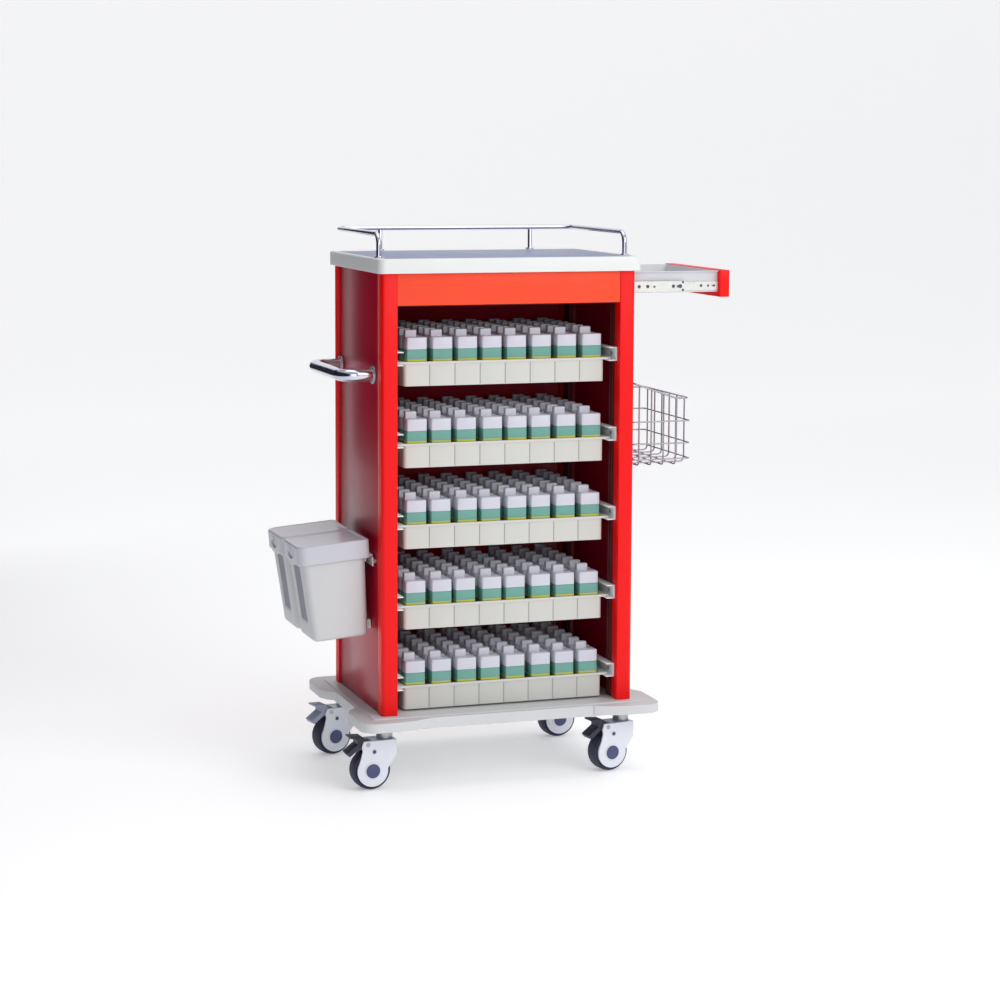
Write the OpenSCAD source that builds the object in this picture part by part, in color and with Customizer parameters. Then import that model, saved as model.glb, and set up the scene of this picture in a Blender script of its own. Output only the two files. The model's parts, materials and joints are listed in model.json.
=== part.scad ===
// Medication cart: a five-tray steel cabinet on a moulded base with four swivel casters,
// a side drawer, two hanging waste bins, a wire basket, a push handle and a guard rail.
// Units are millimetres. +X is the cart's right side, +Y its back, +Z up, floor at z = 0.

/* [Cabinet] */
// Width over the corner posts
cabinet_w = 535; // [525:1:545]
// Depth over the corner posts
cabinet_d = 360; // [355:1:365]
// Height of the base's top face, where the posts stand
cabinet_bottom = 150; // [146:1:156]
// Height of the post tops, under the worktop
cabinet_top = 1035; // [1025:1:1040]
// Front face width of a corner post
post_w = 32.5; // [28:0.5:36]
// Depth of a post's outer side face
post_side = 30; // [26:1:34]
// Depth of a post's inner flank, which carries the tray runners
flank_d = 63; // [50:1:80]
// Height of the front header panel
header_h = 63; // [50:1:66]
// Set-back of the panels behind the faces of the posts
panel_inset = 3; // [2:0.5:5]
// Sheet thickness of posts and panels
sheet = 2; // [1.5:0.5:2.5]

/* [Worktop and guard rail] */
// Thickness of the moulded worktop
top_h = 29; // [24:1:34]
// Overhang of the worktop at the sides
top_side = 9.5; // [8:0.5:12]
// Overhang of the worktop at the front
top_front = 15; // [8:1:20]
// Overhang of the worktop at the back
top_back = 10; // [6:1:14]
// Radius of the guard rail tube
rail_r = 5; // [4:0.5:6]
// Height of the guard rail's centre above the worktop
rail_rise = 47; // [40:1:60]
// Place of the back stanchions either side of the middle
stanchion_x = 167; // [120:1:200]

/* [Base] */
// Half width of the base platform
platform_x = 294; // [290:1:300]
// Half depth of the base platform
platform_y = 206; // [202:1:212]
// Height of the base's moulded edge
platform_h = 22; // [20:1:24]
// Half width of the raised plateau that the cabinet stands on
plateau_x = 289; // [280:1:290]
// Half depth of the raised plateau
plateau_y = 196; // [190:1:198]
// Half width over the corner bumpers
bumper_x = 319; // [315:1:325]
// Half depth over the corner bumpers
bumper_y = 230; // [226:1:236]

/* [Casters] */
// Half spacing of the swivel axes, side to side
caster_x = 255; // [250:1:258]
// Half spacing of the swivel axes, front to back
caster_y = 153; // [148:1:156]
// Wheel radius
wheel_r = 40; // [39:0.1:41]
// Tread width
tyre_w = 32; // [30:1:33]
// Distance of the wheel's axle behind the swivel axis
trail = 31; // [28:1:33]

/* [Trays] */
// Height of the top tray's rim
tray_top = 857.5; // [852:0.5:862]
// Height from one tray to the next
tray_pitch = 163.6; // [160:0.1:165]
// Width of the tray's body
tray_w = 425; // [420:1:428]
// Depth of the tray's body
tray_d = 300; // [290:1:305]
// Height of a tray
tray_h = 49; // [45:1:52]
// Width over the tray's rim
rim_w = 456; // [452:1:458]

/* [Medicine boxes] */
// Width of one medicine box
box_w = 42; // [38:0.5:44]
// Depth of one medicine box
box_d = 37; // [34:0.5:38]
// Spacing of the columns
box_pitch_x = 53.1; // [50:0.1:53.2]
// Spacing of the rows
box_pitch_y = 42.4; // [40:0.1:42.4]

/* [Side drawer] */
// How far the drawer stands open at rest
drawer_open = 222.5; // [150:0.5:300]
// Height of the drawer's front
drawer_front_h = 55.5; // [50:0.5:57]
// Thickness of the drawer's front
drawer_front_t = 22.5; // [18:0.5:26]
// Length of the drawer and its slides
drawer_l = 400; // [380:1:420]
// Share of the drawer's travel that its middle slides make
middle_share = 0.667; // [0.6:0.001:0.7]

/* [Waste bins] */
// Length of a bin's lid, outward from the cart
lid_l = 148; // [142:1:155]
// Width of a bin's lid
lid_w = 135; // [128:1:136]
// Depth of the lid's skirt
lid_skirt = 38; // [34:1:42]
// Height of a bin with its lid
bin_h = 197; // [190:1:205]
// Angle at which the bins hang, outer end down
bin_tilt = 4.8; // [3:0.1:6]

/* [Wire basket] */
// How far the basket stands out from its back wires
basket_out = 122; // [110:1:130]
// Length of the basket along the cart
basket_l = 240; // [220:1:260]
// Height of the basket's outer side
basket_h = 134; // [120:1:150]
// Height that the back stands above the outer side
basket_back = 33; // [20:1:45]
// Radius of the basket's wires
wire_r = 1.6; // [1.2:0.1:2]

/* [Push handle] */
// Radius of the handle's tube
handle_r = 12.5; // [10:0.5:13]
// Height of the handle
handle_z = 830; // [815:1:855]
// Distance of the handle's centreline from the side panel
handle_out = 64; // [55:1:70]
// Place of the handle's front leg
handle_y0 = -115; // [-125:1:-105]
// Place of the handle's rear leg
handle_y1 = 131; // [105:1:135]

/* [Hidden] */
$fn = 64;

// The origin is under the middle of the whole cart, drawer and bins included.
cart_x = -26;

post_x = cabinet_w / 2;
post_y = cabinet_d / 2;
cabinet_h = cabinet_top - cabinet_bottom;
opening_x = post_x - post_w;
side_y = post_y - post_side;
panel_x = post_x - panel_inset;
header_z = cabinet_top - header_h - 1;
ceiling_z = cabinet_top - header_h - 4;
worktop_z = cabinet_top + top_h;
flank_t = 8;
fit_gap = 0.3;
run_gap = 0.05;

module at_cart() {
    translate([cart_x, 0, 0]) children();
}

// Copies at +X and -X.
module both_x() {
    children();
    mirror([1, 0, 0]) children();
}

// Copies at +Y and -Y.
module both_y() {
    children();
    mirror([0, 1, 0]) children();
}

module block(x0, x1, y0, y1, z0, z1) {
    translate([x0, y0, z0]) cube([x1 - x0, y1 - y0, z1 - z0]);
}

// Rectangle from x0 to x1 and y0 to y1 with round corners.
module round_rect(x0, x1, y0, y1, r) {
    translate([x0 + r, y0]) square([x1 - x0 - 2 * r, y1 - y0]);
    translate([x0, y0 + r]) square([x1 - x0, y1 - y0 - 2 * r]);
    for (x = [x0 + r, x1 - r], y = [y0 + r, y1 - r]) {
        translate([x, y]) circle(r);
    }
}

// ---- Cabinet ---------------------------------------------------------------------------

// Box section of a corner post with its outer corner at the origin, inward on +X and +Y.
module post_section() {
    corner_r = 8;
    difference() {
        union() {
            translate([corner_r, 0]) square([post_w - corner_r, post_side]);
            translate([0, corner_r]) square([post_w, post_side - corner_r]);
            translate([corner_r, corner_r]) circle(corner_r);
        }
        translate([corner_r, sheet]) square([post_w - corner_r - sheet, post_side - 2 * sheet]);
        translate([sheet, corner_r]) square([post_w - 2 * sheet, post_side - corner_r - sheet]);
        translate([corner_r, corner_r]) circle(corner_r - sheet);
    }
}

module corner_post() {
    translate([-post_x, -post_y, cabinet_bottom]) linear_extrude(cabinet_h) post_section();
}

module front_posts() {
    color("#e01b14") at_cart() both_x() corner_post();
}

module rear_posts() {
    color("#d01812") at_cart() both_x() mirror([0, 1, 0]) corner_post();
}

// Grooved plates behind the posts that carry the tray runners, up to the ceiling.
module post_flanks() {
    groove_w = 4;
    groove_d = 1.2;
    color("#a81410") at_cart() both_x() both_y() difference() {
        block(-opening_x - flank_t, -opening_x, -side_y, -post_y + flank_d, cabinet_bottom,
              ceiling_z);
        for (y = [38, 52]) {
            block(-opening_x - groove_d, -opening_x + 1, -post_y + y, -post_y + y + groove_w,
                  cabinet_bottom - 1, ceiling_z + 1);
        }
    }
}

// Side panel with folded edges, up to height z1.
module side_panel(z1) {
    hem = 14;
    difference() {
        block(-panel_x, -panel_x + hem, -side_y, side_y, cabinet_bottom, z1);
        block(-panel_x + sheet, -panel_x + hem + 1, -side_y + sheet, side_y - sheet,
              cabinet_bottom + sheet, z1 - sheet);
    }
}

module left_panel() {
    color("#a3122b") at_cart() side_panel(cabinet_top);
}

module right_panel() {
    color("#a3122b") at_cart() mirror([1, 0, 0]) side_panel(ceiling_z + 1);
}

module back_panel() {
    color("#8f1024") at_cart() difference() {
        block(-opening_x, opening_x, post_y - panel_inset - 12, post_y - panel_inset,
              cabinet_bottom, cabinet_top);
        block(-opening_x + sheet, opening_x - sheet, post_y - panel_inset - 13,
              post_y - panel_inset - sheet, cabinet_bottom + sheet, cabinet_top - sheet);
    }
}

module front_header() {
    color("#ff5a3c") at_cart() difference() {
        block(-opening_x, opening_x, -post_y + 1.5, -post_y + 19, header_z, cabinet_top);
        block(-opening_x + sheet, opening_x - sheet, -post_y + 1.5 + sheet, -post_y + 20,
              header_z + sheet, cabinet_top + 1);
    }
}

// Sheet over the tray space, folded up along both slides to carry them.
module ceiling_sheet() {
    fold = 1.2;
    fold_y = slide_web_y + 1.5;
    color("#7a1418") at_cart() {
        block(-opening_x, opening_x, -post_y + 20, post_y - 20, ceiling_z, ceiling_z + fold);
        both_y() block(-160, opening_x, -fold_y - fold, -fold_y, ceiling_z + fold,
                       ceiling_z + 37);
    }
}

// ---- Worktop, guard rail and handle ----------------------------------------------------

// Work field of the board, less a raised pad under each foot of the guard rail.
module field_outline(x, y0, y1) {
    pad_r = 11;
    difference() {
        round_rect(-x, x, y0, y1, 12);
        for (s = [-1, 1]) {
            translate([s * rail_x, rail_front_y]) circle(pad_r);
            translate([s * stanchion_x, rail_back_y]) circle(pad_r);
        }
    }
}

module top_board() {
    field_lip = 12;
    field_drop = 1.5;
    x = post_x + top_side;
    y0 = -post_y - top_front;
    y1 = post_y + top_back;
    color("#dfe1e4") at_cart() difference() {
        translate([0, 0, cabinet_top]) linear_extrude(top_h) round_rect(-x, x, y0, y1, 16);
        translate([0, 0, worktop_z - field_drop]) linear_extrude(top_h)
            field_outline(x - field_lip, y0 + field_lip, y1 - field_lip);
        translate([0, 0, cabinet_top - 1]) linear_extrude(top_h - 5)
            round_rect(-opening_x, opening_x, -post_y + 24, post_y - 24, 6);
    }
}

// Straight tube along +Z.
module tube(r, wall, h) {
    difference() {
        cylinder(r = r, h = h);
        translate([0, 0, -1]) cylinder(r = r - wall, h = h + 2);
    }
}

// Quarter bend in the XY plane: starts at the origin running on +X and turns to +Y.
module bend(r, wall, bend_r) {
    translate([0, bend_r, 0]) rotate([0, 0, -90]) rotate_extrude(angle = 90)
        translate([bend_r, 0]) difference() {
            circle(r);
            circle(r - wall);
        }
}

rail_x = 260.5;
rail_back_y = 181;
rail_front_y = -134;
rail_z = worktop_z + rail_rise;
rail_bend = 22;

// One side of the guard rail: front leg, front bend, long side and back corner.
module rail_side() {
    translate([rail_x, rail_front_y, worktop_z]) tube(rail_r, 1, rail_rise - rail_bend);
    translate([rail_x, rail_front_y, rail_z - rail_bend]) rotate([90, 0, 90])
        rotate([0, 0, 90]) mirror([0, 1, 0]) bend(rail_r, 1, rail_bend);
    translate([rail_x, rail_front_y + rail_bend, rail_z]) rotate([-90, 0, 0])
        tube(rail_r, 1, rail_back_y - rail_front_y - 2 * rail_bend);
    translate([rail_x, rail_back_y - rail_bend, rail_z]) rotate([0, 0, 90])
        bend(rail_r, 1, rail_bend);
}

module guard_rail() {
    color("#c9ccd2") at_cart() {
        both_x() rail_side();
        translate([-rail_x + rail_bend, rail_back_y, rail_z]) rotate([0, 90, 0])
            tube(rail_r, 1, 2 * (rail_x - rail_bend));
    }
}

// Back stanchions under the rail, and the flange at the foot of each stanchion and front leg.
module rail_stanchions() {
    saddle = 1;
    color("#b9bcc2") at_cart() both_x() {
        translate([stanchion_x, rail_back_y, worktop_z + 3]) difference() {
            cylinder(r = 4.5, h = rail_rise - 3 - rail_r + saddle);
            translate([-10, 0, rail_rise - 3]) rotate([0, 90, 0]) cylinder(r = rail_r, h = 20);
        }
        translate([stanchion_x, rail_back_y, worktop_z]) cylinder(r = 8.5, h = 3);
        translate([rail_x, rail_front_y, worktop_z]) difference() {
            cylinder(r = 8.5, h = 3);
            translate([0, 0, -1]) cylinder(r = rail_r, h = 5);
        }
    }
}

flange_h = 5;
handle_bend = 30;
handle_wall = 1.5;

module push_handle() {
    x0 = -panel_x - flange_h;
    x1 = -panel_x - handle_out;
    color("#c9ccd2") at_cart() translate([0, 0, handle_z]) {
        for (y = [handle_y0, handle_y1]) {
            translate([x1 + handle_bend, y, 0]) rotate([0, 90, 0])
                tube(handle_r, handle_wall, x0 - x1 - handle_bend);
        }
        translate([x1, handle_y0 + handle_bend, 0]) rotate([-90, 0, 0])
            tube(handle_r, handle_wall, handle_y1 - handle_y0 - 2 * handle_bend);
        translate([x1, handle_y0 + handle_bend, 0]) rotate([0, 0, -90])
            bend(handle_r, handle_wall, handle_bend);
        translate([x1 + handle_bend, handle_y1, 0]) rotate([0, 0, 180])
            bend(handle_r, handle_wall, handle_bend);
    }
}

module handle_flanges() {
    color("#d5d7da") at_cart() for (y = [handle_y0, handle_y1]) {
        translate([-panel_x, y, handle_z]) rotate([0, -90, 0]) cylinder(r = 18, h = flange_h);
    }
}

// ---- Base ------------------------------------------------------------------------------

base_top = cabinet_bottom - 2;
base_bottom = base_top - platform_h;

// Outline of the front right bumper: a rounded corner that fades into the platform's edges.
module bumper_outline() {
    corner_r = 34;
    translate([bumper_x - corner_r, -bumper_y + corner_r]) circle(corner_r);
    polygon([
        [172, -platform_y + 3], [176, -platform_y - 4], [212, -bumper_y + 6], [250, -bumper_y + 1],
        [bumper_x - corner_r, -bumper_y], [bumper_x, -bumper_y + corner_r],
        [bumper_x, -112], [bumper_x - 9, -92], [platform_x - 2, -74], [172, -74]
    ]);
}

module base_moulding() {
    wall = 7;
    roof = 6;
    color("#cfd2d6") at_cart() difference() {
        union() {
            translate([0, 0, base_bottom]) linear_extrude(platform_h)
                round_rect(-platform_x, platform_x, -platform_y, platform_y, 16);
            translate([0, 0, base_bottom + 1]) linear_extrude(cabinet_bottom - base_bottom - 1)
                round_rect(-plateau_x, plateau_x, -plateau_y, plateau_y, 5);
            both_x() both_y() translate([0, 0, base_bottom + 3]) linear_extrude(platform_h - 3)
                bumper_outline();
        }
        block(-platform_x + wall, platform_x - wall, -platform_y + wall, platform_y - wall,
              base_bottom - 1, cabinet_bottom - roof);
    }
}

beam_w = 42;
beam_top = cabinet_bottom - 6;

// Steel frame inside the moulding: two long beams over the casters and two cross beams.
module base_frame() {
    color("#5b5d61") at_cart() {
        both_y() block(-caster_x - 24, caster_x + 24, caster_y - beam_w / 2,
                       caster_y + beam_w / 2, base_bottom, beam_top);
        both_x() block(120, 150, -caster_y + beam_w / 2, caster_y - beam_w / 2,
                       base_bottom + 4, beam_top);
    }
}

// ---- Casters ---------------------------------------------------------------------------

crown_top = wheel_r + 61;
nut_z = wheel_r + 40;
kingpin_r = 6;
axle_r = 5;
pedal_pin_r = 3;
rim_r = 31;
plate_in = 17.2;
plate_t = 4;
brake_x = -10;
brake_z = 54;

// Swivel housing, kingpin and nut of each caster, fixed to the base.
module caster_mount() {
    translate([0, 0, base_bottom - 3]) cylinder(r = 24, h = 3);
    translate([0, 0, crown_top + fit_gap])
        cylinder(r = 16.5, h = base_bottom - 3 - crown_top - fit_gap);
    translate([0, 0, nut_z]) cylinder(r = kingpin_r, h = crown_top - nut_z + fit_gap);
    translate([0, 0, nut_z]) cylinder(r = 9, h = 5.5);
}

module caster_mounts() {
    color("#9a9ca2") at_cart() both_x() both_y() translate([caster_x, caster_y, 0])
        caster_mount();
}

// Outline of a fork's side cover, with the wheel's centre at the origin and +Y up.
module cover_outline() {
    circle(32);
    polygon([
        [-31, 8], [-24, 28], [-21, 40], [-23, 50], [-19, 61], [50, 61], [50, 30], [32.5, 5], [0, 0]
    ]);
}

// Extrudes a side-view outline across the wheel, from y0 to y1.
module across(y0, y1) {
    translate([0, y1, 0]) rotate([90, 0, 0]) linear_extrude(y1 - y0) children();
}

module fork() {
    difference() {
        union() {
            both_y() across(plate_in, plate_in + plate_t) cover_outline();
            across(-plate_in, plate_in) translate([-2, 46]) square([52, 15]);
            across(-plate_in, plate_in) translate([46, 30]) square([4, 16]);
        }
        translate([trail, 0, 0]) cylinder(r = kingpin_r + run_gap, h = 100);
        rotate([90, 0, 0]) cylinder(r = axle_r, h = 60, center = true);
        translate([brake_x, 0, brake_z]) rotate([90, 0, 0])
            cylinder(r = pedal_pin_r, h = 60, center = true);
    }
}

// Axle with its two hub caps, the brake's pivot pin and the two cap screws.
module caster_pins() {
    reach = plate_in + plate_t;
    rotate([90, 0, 0]) cylinder(r = axle_r, h = 2 * reach, center = true);
    translate([brake_x, 0, brake_z]) rotate([90, 0, 0])
        cylinder(r = pedal_pin_r, h = 2 * reach, center = true);
    both_y() {
        across(reach, reach + 1.8) circle(15.5);
        across(reach, reach + 1) translate([3, 39]) circle(5.5);
    }
}

module wheel_rim() {
    difference() {
        rotate([90, 0, 0]) cylinder(r = rim_r, h = 28, center = true);
        rotate([90, 0, 0]) cylinder(r = axle_r + run_gap, h = 40, center = true);
        both_y() across(11, 20) difference() {
            circle(rim_r - 4);
            circle(10);
        }
    }
}

module wheel_tyre() {
    crown = 4;
    rotate([90, 0, 0]) rotate_extrude() polygon([
        [rim_r, -tyre_w / 2 + 2], [rim_r + 4, -tyre_w / 2], [wheel_r - 2.5, -tyre_w / 2],
        [wheel_r - 0.6, -tyre_w / 2 + crown], [wheel_r, -tyre_w / 2 + 2 * crown],
        [wheel_r, tyre_w / 2 - 2 * crown], [wheel_r - 0.6, tyre_w / 2 - crown],
        [wheel_r - 2.5, tyre_w / 2], [rim_r + 4, tyre_w / 2], [rim_r, tyre_w / 2 - 2]
    ]);
}

// Brake pedal: a release tab on top and a toe plate that slants down behind the wheel.
module brake_pedal() {
    pedal_w = 31;
    difference() {
        across(-pedal_w / 2, pedal_w / 2) union() {
            translate([brake_x, brake_z]) circle(6);
            polygon([
                [-10, 60], [-16, 65], [-20, 70], [-46, 71.5], [-46, 68], [-30, 65], [-30, 55],
                [-53, 38], [-47, 30.5], [-25, 47], [-10, 48]
            ]);
        }
        translate([brake_x, 0, brake_z]) rotate([90, 0, 0])
            cylinder(r = pedal_pin_r + run_gap, h = 60, center = true);
    }
}

// Sides, ends and rest angles of the four casters.
function caster_side(right) = right ? 1 : -1;
function caster_yaw(right, back) = right ? (back ? 5 : 9) : (back ? 12 : 3);

// Places a caster piece, drawn about the wheel's centre, at one corner of the base.
module at_caster(right, back) {
    at_cart() translate([caster_side(right) * caster_x, caster_side(back) * caster_y, 0])
        rotate([0, 0, caster_yaw(right, back)]) translate([-trail, 0, wheel_r]) children();
}

module caster_fork(right, back) {
    color("#e8eaee") at_caster(right, back) fork();
}

module caster_pin_set(right, back) {
    color("#3c4270") at_caster(right, back) caster_pins();
}

module caster_rim(right, back) {
    color("#d8dade") at_caster(right, back) wheel_rim();
}

module caster_tyre(right, back) {
    color("#2c2d48") at_caster(right, back) wheel_tyre();
}

module caster_pedal(right, back) {
    color("#30323f") at_caster(right, back) brake_pedal();
}

// ---- Trays -----------------------------------------------------------------------------

tray_front = -148;
tray_wall = 2.5;
rim_h = 4.5;
runner_h = 28;
runner_front = -164;
runner_back = 162;
runner_t = 2;
runner_lip = 17;

function rim_z(n) = tray_top - (n - 1) * tray_pitch;
function runner_z(n) = rim_z(n) - rim_h - fit_gap - runner_t;

module tray(n) {
    cells = 8;
    cell_w = tray_w / cells;
    rim_out = 4;
    color("#d6d5cf") at_cart() translate([0, 0, rim_z(n)]) difference() {
        union() {
            translate([0, 0, -tray_h]) linear_extrude(tray_h)
                round_rect(-tray_w / 2, tray_w / 2, tray_front, tray_front + tray_d, 7);
            translate([0, 0, -rim_h]) linear_extrude(rim_h)
                round_rect(-rim_w / 2, rim_w / 2, tray_front - rim_out,
                           tray_front + tray_d + rim_out, 7);
        }
        translate([0, 0, -tray_h + tray_wall]) linear_extrude(tray_h)
            round_rect(-tray_w / 2 + tray_wall, tray_w / 2 - tray_wall,
                       tray_front + tray_wall, tray_front + tray_d - tray_wall, 3);
        for (i = [1 : cells - 1]) {
            translate([-tray_w / 2 + i * cell_w - 1, tray_front - 1, -tray_h - 1])
                cube([2, 1.8, tray_h - rim_h + 1]);
        }
    }
}

// Channel runner on the right flank at tray n, open towards the tray.
module runner(n) {
    translate([0, 0, runner_z(n)]) difference() {
        block(opening_x - runner_lip, opening_x, runner_front, runner_back, 0, runner_h);
        block(opening_x - runner_lip - 1, opening_x - runner_t, runner_front - 1,
              runner_back + 1, runner_t, runner_h - runner_t);
        for (y = [-140, 140]) {
            translate([opening_x - 5, y, runner_h / 2]) rotate([0, 90, 0])
                cylinder(r = 2.2, h = 10);
        }
    }
}

module tray_runners() {
    color("#eceef0") at_cart() for (n = [1 : 5]) {
        both_x() runner(n);
    }
}

// ---- Medicine boxes --------------------------------------------------------------------

columns = 8;
rows = 7;
box_h = 71;
box_lid_h = 23.5;
tab_h = 13.5;

// Boxes are set down by hand, so each column stands a little off its even place.
function column_x(n, c) = (c - (columns - 1) / 2) * box_pitch_x + 0.5
    + 1.6 * sin(360 * (n * c + n) / 7);

// Thin-walled cup on the XY plane, open at the top.
module cup(w, d, h, t) {
    difference() {
        block(-w / 2, w / 2, 0, d, 0, h);
        block(-w / 2 + t, w / 2 - t, t, d - t, t, h + 1);
    }
}

// One box: a deep cup under a cap that has a grip tab at its back left.
module medicine_box() {
    wall = 1.6;
    joint_gap = 0.1;
    cup(box_w, box_d, box_h, wall);
    translate([0, 0, box_h + box_lid_h]) {
        mirror([0, 0, 1]) cup(box_w, box_d, box_lid_h - joint_gap, wall);
        block(-box_w / 2 + 3, -box_w / 2 + 26, 22, box_d - 1, 0, tab_h);
    }
}

module tray_boxes(n) {
    stack_y = tray_front + tray_wall + 1.2;
    stack_z = rim_z(n) - tray_h + tray_wall;
    color("#a9bfc0") at_cart() translate([0, stack_y, stack_z])
        for (c = [0 : columns - 1], r = [0 : rows - 1]) {
            translate([column_x(n, c), r * box_pitch_y, 0]) medicine_box();
        }
}

// ---- Side drawer -----------------------------------------------------------------------

drawer_back_x = post_x - drawer_front_t;
drawer_top_z = cabinet_top - 3.5;
drawer_box_y = 136.5;
slide_z = cabinet_top - 36;
slide_web_y = 147;
drawer_sheet = 1.5;

// One drawer slide channel on the +Y side: web at web_y, lips reaching in to lip_y.
module slide_channel(x1, web_y, lip_y, h, t) {
    difference() {
        block(x1 - drawer_l, x1, lip_y, web_y + t, slide_z - h / 2, slide_z + h / 2);
        block(x1 - drawer_l - 1, x1 + 1, lip_y - 1, web_y, slide_z - h / 2 + t,
              slide_z + h / 2 - t);
    }
}

module slide_outers() {
    color("#c6c8cb") at_cart() both_y()
        slide_channel(drawer_back_x - 2, slide_web_y, 140.2, 27, 1.5);
}

module slide_middles() {
    x1 = drawer_back_x - 2 + middle_share * drawer_open;
    color("#d2d4d6") at_cart() both_y() difference() {
        slide_channel(x1, 142.4, 139, 22, 1.2);
        for (i = [0 : 7]) {
            translate([x1 - 16 - i * 52, 140, slide_z]) rotate([-90, 0, 0])
                cylinder(r = 2.6, h = 10);
        }
    }
}

module slide_inners() {
    x1 = drawer_back_x - 0.5 + drawer_open;
    color("#d9dbdc") at_cart() both_y() difference() {
        slide_channel(x1, 137.6, drawer_box_y, 17, 1.2);
        for (i = [0 : 5]) {
            translate([x1 - 12 - i * 70, 130, slide_z]) rotate([-90, 0, 0])
                cylinder(r = 2, h = 20);
        }
    }
}

// Open-topped drawer with a rim folded outward along both sides.
module drawer_box() {
    x1 = drawer_back_x + drawer_open;
    x0 = x1 - drawer_l + 8;
    z0 = slide_z - 12.5;
    z1 = drawer_top_z - 1.5;
    rim = 6;
    color("#cdd0d3") at_cart() {
        difference() {
            block(x0, x1, -drawer_box_y, drawer_box_y, z0, z1);
            block(x0 + drawer_sheet, x1 - drawer_sheet, -drawer_box_y + drawer_sheet,
                  drawer_box_y - drawer_sheet, z0 + drawer_sheet, z1 + 1);
        }
        both_y() block(x0, x1, drawer_box_y, drawer_box_y + rim, z1 - drawer_sheet, z1);
    }
}

// Double-skinned drawer front with a finger recess in its outer face.
module drawer_front() {
    x0 = drawer_back_x + drawer_open;
    y = side_y - 1;
    z0 = drawer_top_z - drawer_front_h;
    edge_r = 4;
    color("#f03a2c") at_cart() difference() {
        translate([0, 0, z0]) linear_extrude(drawer_front_h) union() {
            translate([x0, -y]) square([drawer_front_t - edge_r, 2 * y]);
            translate([x0, -y + edge_r]) square([drawer_front_t, 2 * y - 2 * edge_r]);
            for (s = [-1, 1]) {
                translate([x0 + drawer_front_t - edge_r, s * (y - edge_r)]) circle(edge_r);
            }
        }
        block(x0 + drawer_front_t - 10, x0 + drawer_front_t + 1, -50, 50, z0 + 18, z0 + 38);
    }
}

// ---- Waste bins ------------------------------------------------------------------------

bin_hook_x = -280.2;
bin_hook_z = 504;
bin_pitch = 138;
lid_wall = 2.5;
lid_back_r = 10;
hinge_x = -10;
hinge_z = -9;
hinge_pin_r = 2.5;
hinge_pin_y = 56;
body_top = -5;
bar_x = -273;
bar_t = 3;
bar_z0 = 447;
bar_z1 = 465;

// Places a bin piece at side s (-1 front, 1 rear), drawn outward on -X from its back top edge.
module at_bin(s) {
    at_cart() translate([bin_hook_x, s * bin_pitch / 2, bin_hook_z]) rotate([0, -bin_tilt, 0])
        children();
}

// A tapered shell: a rounded rectangle at height z0 blended to another at z1.
module taper(z0, x0, x1, y_a, r_a, z1, x2, x3, y_b, r_b) {
    hull() {
        translate([0, 0, z0]) linear_extrude(0.01) round_rect(x0, x1, -y_a, y_a, r_a);
        translate([0, 0, z1 - 0.01]) linear_extrude(0.01) round_rect(x2, x3, -y_b, y_b, r_b);
    }
}

module bin_body() {
    wall = 2.5;
    boss_r = 4.5;
    boss_y0 = 50;
    boss_y1 = lid_w / 2 - lid_wall - 2.1;
    difference() {
        union() {
            difference() {
                taper(-bin_h, -129, -15, 56, 14, body_top, -142, -7, 62.5, 16, $fn = 32);
                taper(-bin_h + wall, -126.5, -17.5, 53.5, 11.5, body_top + 1, -139.5, -9.5, 60,
                      13.5, $fn = 32);
            }
            both_y() translate([hinge_x, boss_y1, hinge_z]) rotate([90, 0, 0])
                cylinder(r = boss_r, h = boss_y1 - boss_y0);
        }
        both_y() translate([hinge_x, lid_w / 2, hinge_z]) rotate([90, 0, 0])
            cylinder(r = hinge_pin_r + run_gap, h = lid_w / 2 - hinge_pin_y + 0.2);
    }
}

// Hook over the hanging bar, and a heel that rests against the side panel.
module bin_hook() {
    hook_l = 34;
    both_y() translate([0, 12, 0]) {
        translate([-11.5, 0, -48]) cube([6.5, hook_l, 12]);
        translate([-6, 0, -39.2]) cube([15.3, hook_l, 3.2]);
        translate([7.3, 0, -49]) cube([2, hook_l, 13]);
        translate([-17, 0, -190]) cube([16.1, 14, 18]);
    }
}

module waste_bin(s) {
    color("#c8c8ca") at_bin(s) {
        bin_body();
        bin_hook();
    }
}

// Plan of the lid, drawn in by d: large corners at the outer end, small ones at the hinge.
module lid_outline(d) {
    outer_r = 22;
    y = lid_w / 2 - d;
    round_rect(-lid_l + d, -lid_l / 2, -y, y, outer_r - d);
    round_rect(-lid_l / 2 - 40, -d, -y, y, lid_back_r - d);
}

module bin_lid(s) {
    grip_w = 52;
    color("#cbcbce") at_bin(s) {
        difference() {
            translate([0, 0, -lid_skirt]) linear_extrude(lid_skirt) lid_outline(0);
            translate([0, 0, -lid_skirt - 1]) linear_extrude(lid_skirt - 2)
                lid_outline(lid_wall);
            block(-18.5, 1, -lid_w / 2 - 1, lid_w / 2 + 1, -lid_skirt - 1, -14);
            block(-12, 1, -lid_w / 2 + 6, lid_w / 2 - 6, -15, -4);
            block(-lid_l - 1, -lid_l + 8, -grip_w / 2, grip_w / 2, -30, -13);
        }
        both_y() translate([hinge_x, lid_w / 2 - 1, hinge_z]) rotate([90, 0, 0])
            cylinder(r = hinge_pin_r, h = lid_w / 2 - 1 - hinge_pin_y);
    }
}

// Flat hanging bar on three stand-offs.
module bin_rail() {
    half_l = 130;
    color("#c4c6ca") at_cart() {
        block(bar_x, bar_x + bar_t, -half_l, half_l, bar_z0, bar_z1);
        for (y = [-124, 0, 124]) {
            translate([bar_x + bar_t, y, (bar_z0 + bar_z1) / 2]) rotate([0, 90, 0])
                cylinder(r = 4, h = -panel_x - bar_x - bar_t);
        }
    }
}

// ---- Wire basket -----------------------------------------------------------------------

basket_x = 273;
basket_y0 = -160;
basket_z = 636;

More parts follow.
